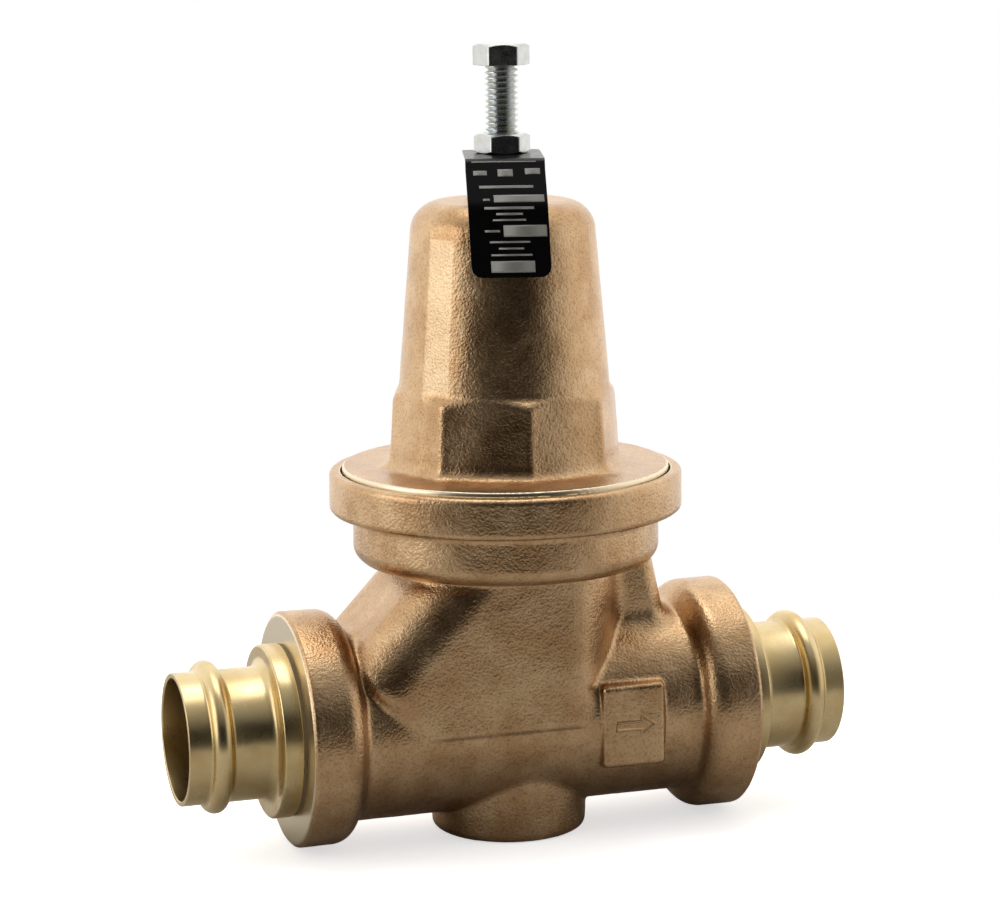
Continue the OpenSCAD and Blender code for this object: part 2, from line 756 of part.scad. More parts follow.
module strainer() {
    slot_w = PI * strainer_r / strainer_slots;
    pitch = (chamber_top - chamber_z) / strainer_rows;
    color("#b9bcbf") difference() {
        bar(strainer_r, chamber_z, chamber_top);
        bar(strainer_r - strainer_t, chamber_z - 1, chamber_top + 1);
        for (row = [0:strainer_rows - 1]) for (k = [0:strainer_slots / 2 - 1])
            rotate(360 * (k + 0.5 * (row % 2)) / strainer_slots)
                translate([-strainer_r - 1, -slot_w / 2, chamber_z + pitch * (row + 0.25)])
                    cube([2 * strainer_r + 2, slot_w, pitch / 2]);
    }
}

module press_end(side) {
    shoulder_z = face_x + face_seal_t;
    mouth_z = shoulder_z + press_len;
    bead_z = mouth_z - bead_inset;
    stop_z = mouth_z - socket_depth;
    half = bead_w / 2;
    reach = (half * half / bead_rise + bead_rise) / 2;
    crest = reach - bead_fillet;
    flank = acos(1 - bead_rise / reach);
    color("#c9a25c") along_pipe(side) difference() {
        rotate_extrude($fn = fine) polygon(concat(
            [[stop_r, face_x - spigot_len], [spigot_r - 1, face_x - spigot_len], [spigot_r, face_x - spigot_len + 1],
                [spigot_r, shoulder_z], [shoulder_r - 0.6, shoulder_z], [shoulder_r, shoulder_z + 0.6],
                [shoulder_r, shoulder_z + shoulder_w - 0.8], [shoulder_r - 0.8, shoulder_z + shoulder_w]],
            arc(press_r + shoulder_fillet, shoulder_z + shoulder_w + shoulder_fillet, shoulder_fillet, 270, 180),
            arc(press_r + bead_fillet, bead_z - half, bead_fillet, 180, 180 - flank),
            arc(bead_r - crest, bead_z, crest, -flank, flank),
            arc(press_r + bead_fillet, bead_z + half, bead_fillet, 180 + flank, 180),
            [[press_r, mouth_z - 0.4], [press_r - 0.4, mouth_z], [tube_r + 0.4, mouth_z], [tube_r, mouth_z - 0.4],
                [tube_r, stop_z], [stop_r, stop_z]]));
        // groove for the press O-ring
        translate([0, 0, bead_z - press_ring_section])
            cylinder(r = press_ring_r + press_ring_section, h = 2 * press_ring_section, $fn = fine);
    }
}

module inlet_press_end() {
    press_end(-1);
}

module outlet_press_end() {
    press_end(1);
}

module face_seal(side) {
    color("#3a3a38") along_pipe(side) difference() {
        bar(shoulder_r - 1.8, face_x, face_x + face_seal_t);
        bar(port_r, face_x - 1, face_x + face_seal_t + 1);
    }
}

module inlet_face_seal() {
    face_seal(-1);
}

module outlet_face_seal() {
    face_seal(1);
}

module press_ring(side) {
    color("#1d1d1f") along_pipe(side) translate([0, 0, face_x + face_seal_t + press_len - bead_inset])
        ring(press_ring_r, press_ring_section);
}

module inlet_press_ring() {
    press_ring(-1);
}

module outlet_press_ring() {
    press_ring(1);
}

body();
bonnet();
adjusting_screw();
lock_nut();
nameplate();
upper_spring_button();
adjusting_spring();
lower_spring_plate();
slip_ring();
diaphragm();
diaphragm_washer();
stem_nut();
stem();
stem_seal();
cartridge_cage();
cage_upper_seal();
cage_lower_seal();
valve_seat();
seat_disc();
disc_holder();
disc_nut();
return_spring();
strainer();
inlet_press_end();
outlet_press_end();
inlet_face_seal();
outlet_face_seal();
inlet_press_ring();
outlet_press_ring();
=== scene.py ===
"""Looks for a bronze pressure reducing valve with press ends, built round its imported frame."""

import json
import math

import bpy
import numpy as np
import openvdb
from mathutils import Matrix, Vector


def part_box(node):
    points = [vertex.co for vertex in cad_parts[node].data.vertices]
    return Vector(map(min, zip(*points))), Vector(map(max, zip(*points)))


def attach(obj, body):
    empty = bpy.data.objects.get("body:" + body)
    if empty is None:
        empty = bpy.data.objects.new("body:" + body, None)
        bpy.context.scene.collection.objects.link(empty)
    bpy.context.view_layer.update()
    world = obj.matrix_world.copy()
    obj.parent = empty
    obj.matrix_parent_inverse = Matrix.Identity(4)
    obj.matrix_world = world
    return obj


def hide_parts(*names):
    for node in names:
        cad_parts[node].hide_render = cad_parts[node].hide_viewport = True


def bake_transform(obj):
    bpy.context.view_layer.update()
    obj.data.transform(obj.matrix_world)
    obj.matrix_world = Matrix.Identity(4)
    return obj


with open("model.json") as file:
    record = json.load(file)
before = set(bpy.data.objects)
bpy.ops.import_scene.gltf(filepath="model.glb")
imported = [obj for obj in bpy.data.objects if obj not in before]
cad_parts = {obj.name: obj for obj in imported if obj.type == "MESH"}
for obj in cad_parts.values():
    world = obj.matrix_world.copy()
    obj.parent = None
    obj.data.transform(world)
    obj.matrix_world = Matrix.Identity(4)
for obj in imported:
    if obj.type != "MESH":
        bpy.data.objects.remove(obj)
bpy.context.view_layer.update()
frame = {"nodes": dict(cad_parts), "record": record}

bl_info = {
    "name": "Pressure Reducing Valve",
    "version": (1, 0, 0),
    "blender": (4, 5, 0),
    "location": "View3D > Sidebar > Valve",
    "description": "Castings, press ends, screw and tag of a pressure reducing valve",
    "category": "Add Mesh",
}

MM = 0.001
SOCKET = {m["name"]: m for m in frame["record"]["mounts"]}["outlet_socket"]
PIPE_Z = SOCKET["pos_m"][2]
SOCKET_RADIUS = SOCKET["dims"]["r_mm"] * MM
HEX_FLATS = 14.29 * MM
BEYOND = 9 * MM  # how far a cut runs on past its casting
TAG_TURN = math.radians(-16)


# ---- small maths

def low(node):
    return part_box(node)[0]


def high(node):
    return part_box(node)[1]


def width(node):
    return high(node)[0] - low(node)[0]


def hex_to_linear(code):
    """An sRGB hex colour such as #b08d6c as linear RGBA."""
    parts = [int(code[i:i + 2], 16) / 255 for i in (1, 3, 5)]
    linear = [c / 12.92 if c <= 0.04045 else ((c + 0.055) / 1.055) ** 2.4 for c in parts]
    return (*linear, 1.0)


def arc(centre, radius, start, end, steps):
    """Points round a centre from one angle in degrees to another."""
    angles = np.radians(np.linspace(start, end, steps + 1))
    return [(centre[0] + radius * math.cos(a), centre[1] + radius * math.sin(a)) for a in angles]


def rounded_outline(corners, steps=6):
    """Outline through corners (a, b, radius), each rounded by an arc of its own radius."""
    points = []
    count = len(corners)
    for i, (a, b, radius) in enumerate(corners):
        here = Vector((a, b))
        before = Vector(corners[i - 1][:2]) - here
        after = Vector(corners[(i + 1) % count][:2]) - here
        if radius <= 0 or before.length < 1e-9 or after.length < 1e-9:
            points.append((a, b))
            continue
        half = before.angle(after) / 2
        reach = min(radius / math.tan(half), before.length * 0.49, after.length * 0.49)
        radius = reach * math.tan(half)
        start = here + before.normalized() * reach
        end = here + after.normalized() * reach
        centre = here + (before.normalized() + after.normalized()).normalized() * radius / math.sin(half)
        first = start - centre
        turn = first.angle_signed(end - centre)
        for k in range(steps + 1):
            spoke = first.copy()
            spoke.rotate(Matrix.Rotation(-turn * k / steps, 2))
            points.append(tuple(centre + spoke))
    return points


# ---- meshes

def make_object(name, vertices, faces, material, sharp=35):
    """A smooth-shaded mesh object whose edges over an angle stay sharp."""
    mesh = bpy.data.meshes.new(name)
    mesh.from_pydata([tuple(v) for v in vertices], [], [tuple(f) for f in faces])
    mesh.update()
    mesh.shade_smooth()
    mesh.set_sharp_from_angle(angle=math.radians(sharp))
    mesh.materials.append(material)
    made = bpy.data.objects.new(name, mesh)
    bpy.context.scene.collection.objects.link(made)
    return made


def apply_modifiers(made):
    """Bakes an object's modifiers into its mesh."""
    graph = bpy.context.evaluated_depsgraph_get()
    mesh = bpy.data.meshes.new_from_object(made.evaluated_get(graph))
    made.modifiers.clear()
    made.data = mesh


def grid_faces(rows, columns, wrap_rows=False, wrap_columns=False):
    """Quads over a grid of vertices stored row by row."""
    faces = []
    for i in range(rows if wrap_rows else rows - 1):
        for j in range(columns if wrap_columns else columns - 1):
            k, m = (i + 1) % rows, (j + 1) % columns
            faces.append((i * columns + j, i * columns + m, k * columns + m, k * columns + j))
    return faces


def lathe(name, outline, material, place=Matrix(), segments=64, sharp=35):
    """A closed outline of (radius, height) points turned about Z, then moved by a matrix."""
    turns = np.linspace(0, 2 * math.pi, segments, endpoint=False)
    vertices = [place @ Vector((r * math.cos(t), r * math.sin(t), z)) for r, z in outline for t in turns]
    faces = grid_faces(len(outline), segments, wrap_rows=True, wrap_columns=True)
    return make_object(name, vertices, faces, material, sharp)


def along_pipe(side):
    """Stands a turned part's +Z outwards along the pipe, on the inlet (-1) or outlet (1) side."""
    return Matrix.Translation((0, 0, PIPE_Z)) @ Matrix.Rotation(side * math.pi / 2, 4, "Y")


def coil(name, radius, wire, bottom, top, turns, material, first=0.0, last=1.0):
    """A coil spring with closed ends, or the part of it between two shares of its turns."""
    sides, steps = 14, 40
    closed = 0.8 / turns
    closed_rise = 0.14
    ease = 0.1
    count = int(turns * steps)
    picked = range(round(first * count), round(last * count) + 1)
    rows = []
    for i in picked:
        share = i / count
        angle = 2 * math.pi * turns * share
        climb = min(max((share - closed) / (1 - 2 * closed), 0), 1)
        climb -= ease * math.sin(2 * math.pi * climb) / math.pi
        ends = (min(share, closed) + max(share - 1 + closed, 0)) / (2 * closed)
        z = bottom + wire + (top - bottom - 2 * wire) * ((1 - closed_rise) * climb + closed_rise * ends)
        for k in range(sides):
            around = 2 * math.pi * k / sides
            r = radius + wire * math.cos(around)
            rows.append((r * math.cos(angle), r * math.sin(angle), z + wire * math.sin(around)))
    faces = grid_faces(len(picked), sides, wrap_columns=True)
    faces.append(tuple(range(sides - 1, -1, -1)))
    faces.append(tuple(range(len(rows) - sides, len(rows))))
    return make_object(name, rows, faces, material)


# ---- cast shapes as distance fields

class CastField:
    """Signed distances on a regular grid, from which a casting's skin is taken."""

    def __init__(self, lowest, highest, voxel):
        self.voxel = voxel
        self.lowest = np.array(lowest) - 3 * voxel
        counts = np.ceil((np.array(highest) + 3 * voxel - self.lowest) / voxel).astype(int) + 1
        axes = [self.lowest[i] + voxel * np.arange(counts[i]) for i in range(3)]
        self.x = axes[0].astype(np.float32)[:, None, None]
        self.y = axes[1].astype(np.float32)[None, :, None]
        self.z = axes[2].astype(np.float32)[None, None, :]

    def skin(self, distance):
        """Vertices and quads of the surface where the distance is zero."""
        grid = openvdb.FloatGrid(background=4 * self.voxel)
        full = np.broadcast_to(distance, (self.x.size, self.y.size, self.z.size))
        band = np.clip(full, -4 * self.voxel, 4 * self.voxel) / self.voxel
        grid.copyFromArray(np.ascontiguousarray(band, dtype=np.float32))
        points, quads = grid.convertToQuads()
        return points * self.voxel + self.lowest, quads[:, ::-1]


def round_bar(radial, along, radius, start, end, edge=0.5 * MM):
    """Distance to a round bar with rounded ends, from radial distance and place along its axis."""
    out = radial - (radius - edge)
    past = np.abs(along - (start + end) / 2) - ((end - start) / 2 - edge)
    return np.hypot(np.maximum(out, 0), np.maximum(past, 0)) + np.minimum(np.maximum(out, past), 0) - edge


def block(axes, lowest, highest, edge):
    """Distance to a box with rounded edges, over any two or three axes."""
    reach = [np.abs(axis - (lo + hi) / 2) - ((hi - lo) / 2 - edge)
             for axis, lo, hi in zip(axes, lowest, highest)]
    outside, deepest = 0, reach[0]
    for out in reach:
        outside = outside + np.maximum(out, 0) ** 2
        deepest = np.maximum(deepest, out)
    return np.sqrt(outside) + np.minimum(deepest, 0) - edge


def blend(first, second, fillet):
    """Union of two distances with a fillet between them."""
    mix = np.maximum(fillet - np.abs(first - second), 0) / fillet
    return np.minimum(first, second) - mix * mix * fillet / 4


def trim(solid, tool, fillet):
    """Solid where the tool isn't, with a rounded edge."""
    return -blend(-solid, tool, fillet)


def keep(solid, tool, fillet):
    """Solid where the tool is too, with a rounded edge."""
    return -blend(-solid, -tool, fillet)


def cast_object(name, field, distance, material, machined, grain):
    """Skins a distance field, roughens it like cast sand, and marks its machined places."""
    points, quads = field.skin(distance)
    made = make_object(name, points, quads, material, sharp=60)
    bare = machined(points)
    mark = made.data.attributes.new("machined", "FLOAT", "POINT")
    mark.data.foreach_set("value", bare.astype(np.float32))
    rough = made.vertex_groups.new(name="rough")
    for index, share in enumerate(1 - bare):
        if share > 0:
            rough.add([index], float(share), "REPLACE")
    for label, size, depth in (("swell", 8 * MM, 3.5), ("grain", 1.6 * MM, 1.0)):
        texture = bpy.data.textures.new(f"{name}_{label}", "CLOUDS")
        texture.noise_scale = size
        texture.noise_depth = 2
        sand = made.modifiers.new(label, "DISPLACE")
        sand.texture = texture
        sand.strength = grain * depth
        sand.mid_level = 0.5
        sand.vertex_group = "rough"
    apply_modifiers(made)
    made.vertex_groups.clear()
    return made


# ---- materials

def add_node(tree, kind, inputs=None, **settings):
    """Adds a node with its settings; an input is a value or another node's output."""
    node = tree.nodes.new(kind)
    for name, value in settings.items():
        setattr(node, name, value)
    for key, value in (inputs or {}).items():
        socket = node.inputs[key]
        if isinstance(value, bpy.types.NodeSocket):
            tree.links.new(value, socket)
        else:
            socket.default_value = value
    return node


def start_material(name):
    """An empty node material with its surface shader and object coordinates in metres."""
    material = bpy.data.materials.new(name)
    material.use_nodes = True
    tree = material.node_tree
    tree.nodes.clear()
    shader = add_node(tree, "ShaderNodeBsdfPrincipled")
    output = add_node(tree, "ShaderNodeOutputMaterial")
    tree.links.new(shader.outputs["BSDF"], output.inputs["Surface"])
    place = add_node(tree, "ShaderNodeTexCoord").outputs["Object"]
    return material, tree, shader, place


def noise(tree, place, size, detail=2.0, rough=0.5):
    """Noise whose features are about one size across, in metres."""
    inputs = {"Vector": place, "Scale": 1 / size, "Detail": detail, "Roughness": rough}
    return add_node(tree, "ShaderNodeTexNoise", inputs).outputs["Fac"]


def ramp(tree, value, stops):
    """A colour ramp over (position, linear colour) stops."""
    node = add_node(tree, "ShaderNodeValToRGB", {"Fac": value})
    while len(node.color_ramp.elements) < len(stops):
        node.color_ramp.elements.new(0.5)
    for element, (position, colour) in zip(node.color_ramp.elements, stops):
        element.position = position
        element.color = colour
    return node.outputs["Color"]


def spread(tree, value, lowest, highest, start=0.0, end=1.0):
    """Maps a value from one range to another, clamped."""
    inputs = {"Value": value, "From Min": start, "From Max": end, "To Min": lowest, "To Max": highest}
    return add_node(tree, "ShaderNodeMapRange", inputs).outputs["Result"]


def mix_colour(tree, share, first, second):
    return add_node(tree, "ShaderNodeMix", {0: share, 6: first, 7: second}, data_type="RGBA").outputs[2]


def maths(tree, operation, first, second):
    return add_node(tree, "ShaderNodeMath", {0: first, 1: second}, operation=operation).outputs[0]


def bump(tree, height, depth):
    inputs = {"Height": height, "Distance": depth, "Strength": 1.0}
    return add_node(tree, "ShaderNodeBump", inputs).outputs["Normal"]


def connect(tree, shader, metallic, colour, rough, normal):
    """Gives the surface shader its metal, colour, roughness and relief."""
    shader.inputs["Metallic"].default_value = metallic
    for name, value in (("Base Color", colour), ("Roughness", rough), ("Normal", normal)):
        tree.links.new(value, shader.inputs[name])


def sand_cast_bronze(name, light, dark):
    """Bronze as it leaves a sand mould and a shot blast: pinkish brown, pebbled by the sand's grain
    with painted shade in its pits, softly shiny, with paler, smoother metal where a tool has faced it."""
    material, tree, shader, place = start_material(name)
    bare = add_node(tree, "ShaderNodeAttribute", attribute_name="machined").outputs["Fac"]
    grain = noise(tree, place, 0.75 * MM)
    patches = noise(tree, place, 12 * MM, 3.0, 0.6)
    stain = mix_colour(tree, spread(tree, patches, 0.0, 1.0, 0.35, 0.65), dark, light)
    # colour darkened where the grain's bump is low: painted shade in the sand's pits
    pit_shade = spread(tree, grain, 0.72, 1.0, 0.30, 0.50)
    shade = add_node(tree, "ShaderNodeVectorMath", {0: stain, 1: pit_shade}, operation="MULTIPLY").outputs[0]
    cast_rough = spread(tree, patches, 0.27, 0.35, 0.3, 0.7)
    rough = add_node(tree, "ShaderNodeMix", {0: bare, 2: cast_rough, 3: 0.30}, data_type="FLOAT").outputs[0]
    height = maths(tree, "MULTIPLY", grain, spread(tree, bare, 1.0, 0.06))
    connect(tree, shader, 1.0, mix_colour(tree, bare, shade, hex_to_linear("#e6d8bc")), rough,
            bump(tree, height, 0.15 * MM))
    return material


def turned_metal(name, colour, rough, groove, axis, tint=None):
    """Metal finished on a lathe: fine tool rings round the axis and a satin shine."""
    material, tree, shader, place = start_material(name)
    parts = add_node(tree, "ShaderNodeSeparateXYZ", {"Vector": place})
    rings = add_node(tree, "ShaderNodeCombineXYZ", {"X": parts.outputs[axis]})
    lines = noise(tree, rings.outputs[0], groove, 1.0)
    cloud = noise(tree, place, 9 * MM)
    connect(tree, shader, 1.0,
            mix_colour(tree, spread(tree, cloud, 0.0, 1.0, 0.35, 0.65), colour, tint or colour),
            spread(tree, cloud, rough * 0.85, rough * 1.2, 0.3, 0.7), bump(tree, lines, 0.012 * MM))
    return material


def zinc_plate(name, colour, rough):
    """Bright zinc plate on steel: pale, faintly warm, smooth, with the plating's soft unevenness."""
    material, tree, shader, place = start_material(name)
    cloud = noise(tree, place, 2.5 * MM, 3.0)
    connect(tree, shader, 1.0,
            mix_colour(tree, spread(tree, cloud, 0.0, 0.6, 0.4, 0.7), colour, hex_to_linear("#bdb9a6")),
            spread(tree, cloud, rough * 0.8, rough * 1.3, 0.3, 0.7), bump(tree, cloud, 0.01 * MM))
    return material


def plain_finish(name, colour, rough, metallic=0.0, size=1.0 * MM, depth=0.01 * MM, shine=0.5):
    """A moulded, painted or drawn surface with a slight mottle of its own."""
    material, tree, shader, place = start_material(name)
    cloud = noise(tree, place, size, 3.0)
    shade = tuple(c * 0.8 for c in colour[:3]) + (1.0,)
    shader.inputs["Specular IOR Level"].default_value = shine
    connect(tree, shader, metallic, mix_colour(tree, cloud, shade, colour),
            spread(tree, cloud, rough * 0.85, rough * 1.15, 0.3, 0.7), bump(tree, cloud, depth))
    return material


FINISHES = {}


def finish(name):
    """One of the valve's finishes, made once from the scene's colours."""
    def tone(setting):
        return tuple(getattr(bpy.context.scene.valve_colours, setting))

    makers = {
        "cast_bronze": (sand_cast_bronze, "sand_cast_bronze", tone("bronze_light"), tone("bronze_dark")),
        "turned_brass": (turned_metal, "turned_brass", tone("brass"), 0.28, 0.35 * MM, 0,
                         tone("brass_tint")),
        "cage_brass": (turned_metal, "cage_brass", tone("brass"), 0.3, 0.3 * MM, 2),
        "zinc": (zinc_plate, "zinc_plated_steel", tone("zinc"), 0.26),
        "black_enamel": (plain_finish, "black_enamel", tone("enamel"), 0.30, 0.0, 3 * MM, 0.004 * MM, 0.2),
        "bare_edge": (plain_finish, "sheared_aluminium", hex_to_linear("#a9a39a"), 0.4, 1.0, 0.5 * MM),
        "silver_ink": (plain_finish, "silver_ink", tone("ink"), 0.45, 0.2, 0.8 * MM, 0.004 * MM),
        "spring_wire": (plain_finish, "oiled_spring_wire", hex_to_linear("#55585c"), 0.35, 1.0, 2 * MM),
        "stainless": (turned_metal, "turned_stainless", hex_to_linear("#b4b6b8"), 0.25, 0.3 * MM, 2),
        "rubber": (plain_finish, "nitrile_rubber", hex_to_linear("#1a1a1b"), 0.6, 0.0, 0.6 * MM, 0.02 * MM),
        "fibre": (plain_finish, "seal_fibre", hex_to_linear("#8a7a5c"), 0.75, 0.0, 0.5 * MM, 0.03 * MM),
        "slip_plastic": (plain_finish, "acetal", hex_to_linear("#d9d6cc"), 0.5, 0.0, 2 * MM),
    }
    if name not in FINISHES:
        maker, *settings = makers[name]
        FINISHES[name] = maker(*settings)
    return FINISHES[name]


# ---- settings

def length(name, description, default):
    return bpy.props.FloatProperty(name=name, description=description, default=default, unit="LENGTH",
                                   precision=5)


def colour(name, description, default):
    return bpy.props.FloatVectorProperty(name=name, description=description, default=hex_to_linear(default),
                                         size=4, min=0, max=1, subtype="COLOR")


class ValveSizes(bpy.types.PropertyGroup):
    voxel: length("Casting detail", "Spacing of the grid that the castings are skinned on", 0.45 * MM)
    grain: length("Cast grain", "Depth of the sand's grain on the castings", 0.055 * MM)
    neck_radius: length("Neck", "Outer radius of the pipe run", 28 * MM)
    collar_radius: length("Collar", "Outer radius of the end collars", PIPE_Z - 0.5 * MM)
    collar_width: length("Collar width", "Width of a collar's outer cylinder", 10.3 * MM)
    foot_radius: length("Foot", "Radius of the foot", 22.5 * MM)
    barrel_radius: length("Barrel", "Radius of the barrel round the cartridge", 31.5 * MM)
    flat: length("Flat", "How far the barrel's flat faces stand from the middle", 28.7 * MM)
    lobe_half: length("Lobe", "Half the thickness of the slanting inlet lobe", 27.7 * MM)
    drum_radius: length("Drum", "Radius of the drum under the top ring", 44.3 * MM)
    pad_left: length("Pad", "Where the arrow pad's left edge is, from the stem", 19.4 * MM)
    drum_height: length("Drum height", "Height of the drum's underside over the pipe", 45.6 * MM)
    pad_rise: length("Pad rise", "How far the arrow pad stands from the pipe run", 1.6 * MM)
    pad_bottom: length("Pad level", "Height of the arrow pad's lower edge", PIPE_Z - 12.6 * MM)
    pitch: length("Thread pitch", "Pitch of the adjusting screw", 1.5875 * MM)


class ValveColours(bpy.types.PropertyGroup):
    bronze_light: colour("Light bronze", "Lighter tone of the cast bronze", "#cfae86")
    bronze_dark: colour("Dark bronze", "Darker tone of the cast bronze", "#b69169")
    brass: colour("Brass", "Tone of the turned brass", "#d8c394")
    brass_tint: colour("Brass tint", "Second tone of the turned brass", "#cbb280")
    zinc: colour("Zinc", "Tone of the zinc plate", "#c6cacb")
    enamel: colour("Enamel", "Tone of the tag's enamel", "#0d0c0e")
    ink: colour("Ink", "Tone of the tag's print", "#a5a39d")


def show(made, body, slot, *nodes):
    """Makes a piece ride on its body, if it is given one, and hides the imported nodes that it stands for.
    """
    if body:
        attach(made, body)
    if nodes:
        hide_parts(*nodes)


# ---- pieces

class VALVE_OT_body(bpy.types.Operator):
    """Cast body with its collared pipe run, lobe, column, drum and top ring"""
    bl_idname = "valve.body"
    bl_label = "Body"

    def execute(self, context):
        s = context.scene.valve_sizes
        face, ring_radius, top = high("body")
        field = CastField((-face, -ring_radius, 0), (face, ring_radius, top), s.voxel)
        x, y, z = field.x, field.y, field.z
        pipe = np.hypot(y, z - PIPE_Z)
        stem = np.hypot(x, y)

        # pipe run, whose collars are cut flat at the end, and the foot with its draft
        collar_edge, foot_draft = 6 * MM, 0.03
        shape = round_bar(pipe, x, s.neck_radius, -face, face, 1 * MM)
        for side in (-1, 1):
            back = face - s.collar_width - collar_edge
            collar = round_bar(pipe, side * x, s.collar_radius, back, face + 20 * MM, collar_edge)
            shape = blend(shape, collar, 2.5 * MM)
        foot = round_bar(stem - foot_draft * z, z, s.foot_radius, 0, PIPE_Z, 2.2 * MM)
        shape = blend(shape, foot, 0.8 * MM)

        # barrel and slanting inlet lobe, both from just over the pipe's middle up into the drum
        drum_z = PIPE_Z + s.drum_height
        under = drum_z + 6 * MM
        parting = z - PIPE_Z - 0.6 * MM
        barrel = round_bar(stem, z, s.barrel_radius, PIPE_Z - 9 * MM, under, 1 * MM)
        barrel = trim(keep(barrel, np.abs(y) - s.flat, 2 * MM), parting, 1 * MM)
        slope, lobe_start = math.radians(46.5), 35.3 * MM
        rise = (x + lobe_start) * math.cos(slope) + (z - PIPE_Z) * math.sin(slope)
        across = (z - PIPE_Z) * math.cos(slope) - (x + lobe_start) * math.sin(slope)
        lobe = block((across, y), (-s.lobe_half, -s.flat), (s.lobe_half, s.flat), 16 * MM)
        lobe = np.maximum(keep(lobe, -rise, 7 * MM), np.maximum(z - under, x))
        lobe = trim(lobe, parting, 1 * MM)
        shape = blend(shape, np.minimum(barrel, lobe), 1.4 * MM)

        # leaning column over the outlet
        lean = (z - drum_z) * math.tan(math.radians(12))
        near, far, half = 12 * MM, 42 * MM, 12.5 * MM
        column = block((x + lean, y), (near, -half), (far, half), 6 * MM)
        column = np.maximum(column, np.maximum(z - under, PIPE_Z - z))
        shape = blend(shape, column, 4.5 * MM)

        # drum, threaded top ring and arrow pad
        ring_height, pad_width, pad_height = 11.8 * MM, 19 * MM, 24.2 * MM
        drum = round_bar(stem, z, s.drum_radius, drum_z, top, 5 * MM)
        ring = round_bar(stem, z, ring_radius, top - ring_height, top, 1.6 * MM)
        shape = blend(shape, drum, 3 * MM)
        shape = blend(shape, ring, 2.5 * MM)
        pad = block((x, y, z), (s.pad_left, -s.neck_radius - s.pad_rise, s.pad_bottom),
                    (s.pad_left + pad_width, -10 * MM, s.pad_bottom + pad_height), 1.4 * MM)
        shape = blend(shape, pad, 1.2 * MM)

        for cut in self.cavities(x, y, z, pipe, stem, across, rise):
            shape = np.maximum(shape, -cut)
        shape = trim_flat(shape, np.abs(x) - face, 0.9 * MM)
        shape = np.maximum(shape, -z)

        def machined(p):
            faced = np.clip((np.abs(p[:, 0]) - face + 0.25 * MM) / (0.2 * MM), 0, 1)
            radius = np.hypot(p[:, 0], p[:, 1])
            rim = (radius < 48.1 * MM) & (p[:, 2] > top - ring_height + 0.2 * MM)
            bores = (radius < 40 * MM) & (p[:, 2] > drum_z + 5 * MM)
            return np.maximum(faced, rim | bores)

        made = cast_object("valve_body", field, shape, finish("cast_bronze"), machined, s.grain)
        show(made, "root", "cast_bronze", "body")
        self.raise_arrow(s)
        return {"FINISHED"}

    def cavities(self, x, y, z, pipe, stem, across, rise):
        """Water passages, the ports for the press ends and the bores for cartridge and bonnet."""
        face, top = high("body")[0], high("body")[2]
        bore = SOCKET_RADIUS - 0.65 * MM
        floor, chamber_floor, chamber_top = 8 * MM, 55 * MM, 79 * MM
        wall = round_bar(stem, z, 21 * MM, floor, chamber_floor)
        inlet = round_bar(pipe, -x, bore, 0, face + BEYOND)
        climb = round_bar(np.hypot(across, y), rise, 19.5 * MM, -9 * MM, 60 * MM)
        climb = np.maximum(climb, np.maximum(z - chamber_top, x))
        chamber = round_bar(stem, z, 24.5 * MM, chamber_floor, chamber_top, 1 * MM)
        inside = np.maximum(np.minimum(np.minimum(inlet, climb), chamber), -wall)
        lower = round_bar(stem, z, 16 * MM, floor, 60 * MM, 1 * MM)
        throat = round_bar(pipe, x, 13 * MM, 0, 30 * MM)
        outlet = round_bar(pipe, x, bore, 27 * MM, face + BEYOND)
        sense = round_bar(np.hypot(x - 33 * MM, y), z, 5 * MM, PIPE_Z, 90 * MM)
        cage = round_bar(stem, z, 21.95 * MM, 76 * MM, 90 * MM)
        cage_top = low("cartridge_cage")[2] + 38 * MM
        pocket = round_bar(stem, z, 38.5 * MM, cage_top, low("bonnet")[2] + BEYOND)
        seat = round_bar(stem, z, 47.75 * MM, low("diaphragm")[2], top + BEYOND, 0.4 * MM)
        ports = round_bar(pipe, np.abs(x), 20.97 * MM, face - 19 * MM, face + BEYOND, 0.3 * MM)
        return inside, lower, throat, outlet, sense, cage, pocket, seat, ports

    def raise_arrow(self, s):
        """Outline of the flow arrow, a rounded ridge standing on the pad."""
        length, head, barb, tail, rise = (c * MM for c in (12.8, 5.5, 3.5, 1.5, 0.45))
        neck = length - head
        front = -s.neck_radius - s.pad_rise
        rows = []
        outline = ((-0.2, -0.2), (0.05, 0.75), (0.2, 1.0), (0.5, 1.0), (0.65, 0.75), (0.9, -0.2))
        for inset, level in outline:
            step = inset * MM
            point = step * math.hypot(head, barb) / barb
            wing = barb - (step + point) * barb / head
            shaft = tail - step
            for x, z in ((step, shaft), (neck + step, shaft), (neck + step, wing), (length - point, 0),
                         (neck + step, -wing), (neck + step, -shaft), (step, -shaft)):
                rows.append((s.pad_left + 3.7 * MM + x, front - level * rise, PIPE_Z - 0.3 * MM + z))
        faces = [face[::-1] for face in grid_faces(len(outline), 7, wrap_columns=True)]
        ridge = make_object("flow_arrow", rows, faces, finish("cast_bronze"), 60)
        show(ridge, "root", "cast_bronze")


def trim_flat(shape, past, chamfer):
    """Cuts a shape flat where past is over zero, with a 45 degree chamfer on its outer edge."""
    cut = np.maximum(shape, past)
    return np.maximum(cut, (shape + past + chamfer) * math.sqrt(0.5))


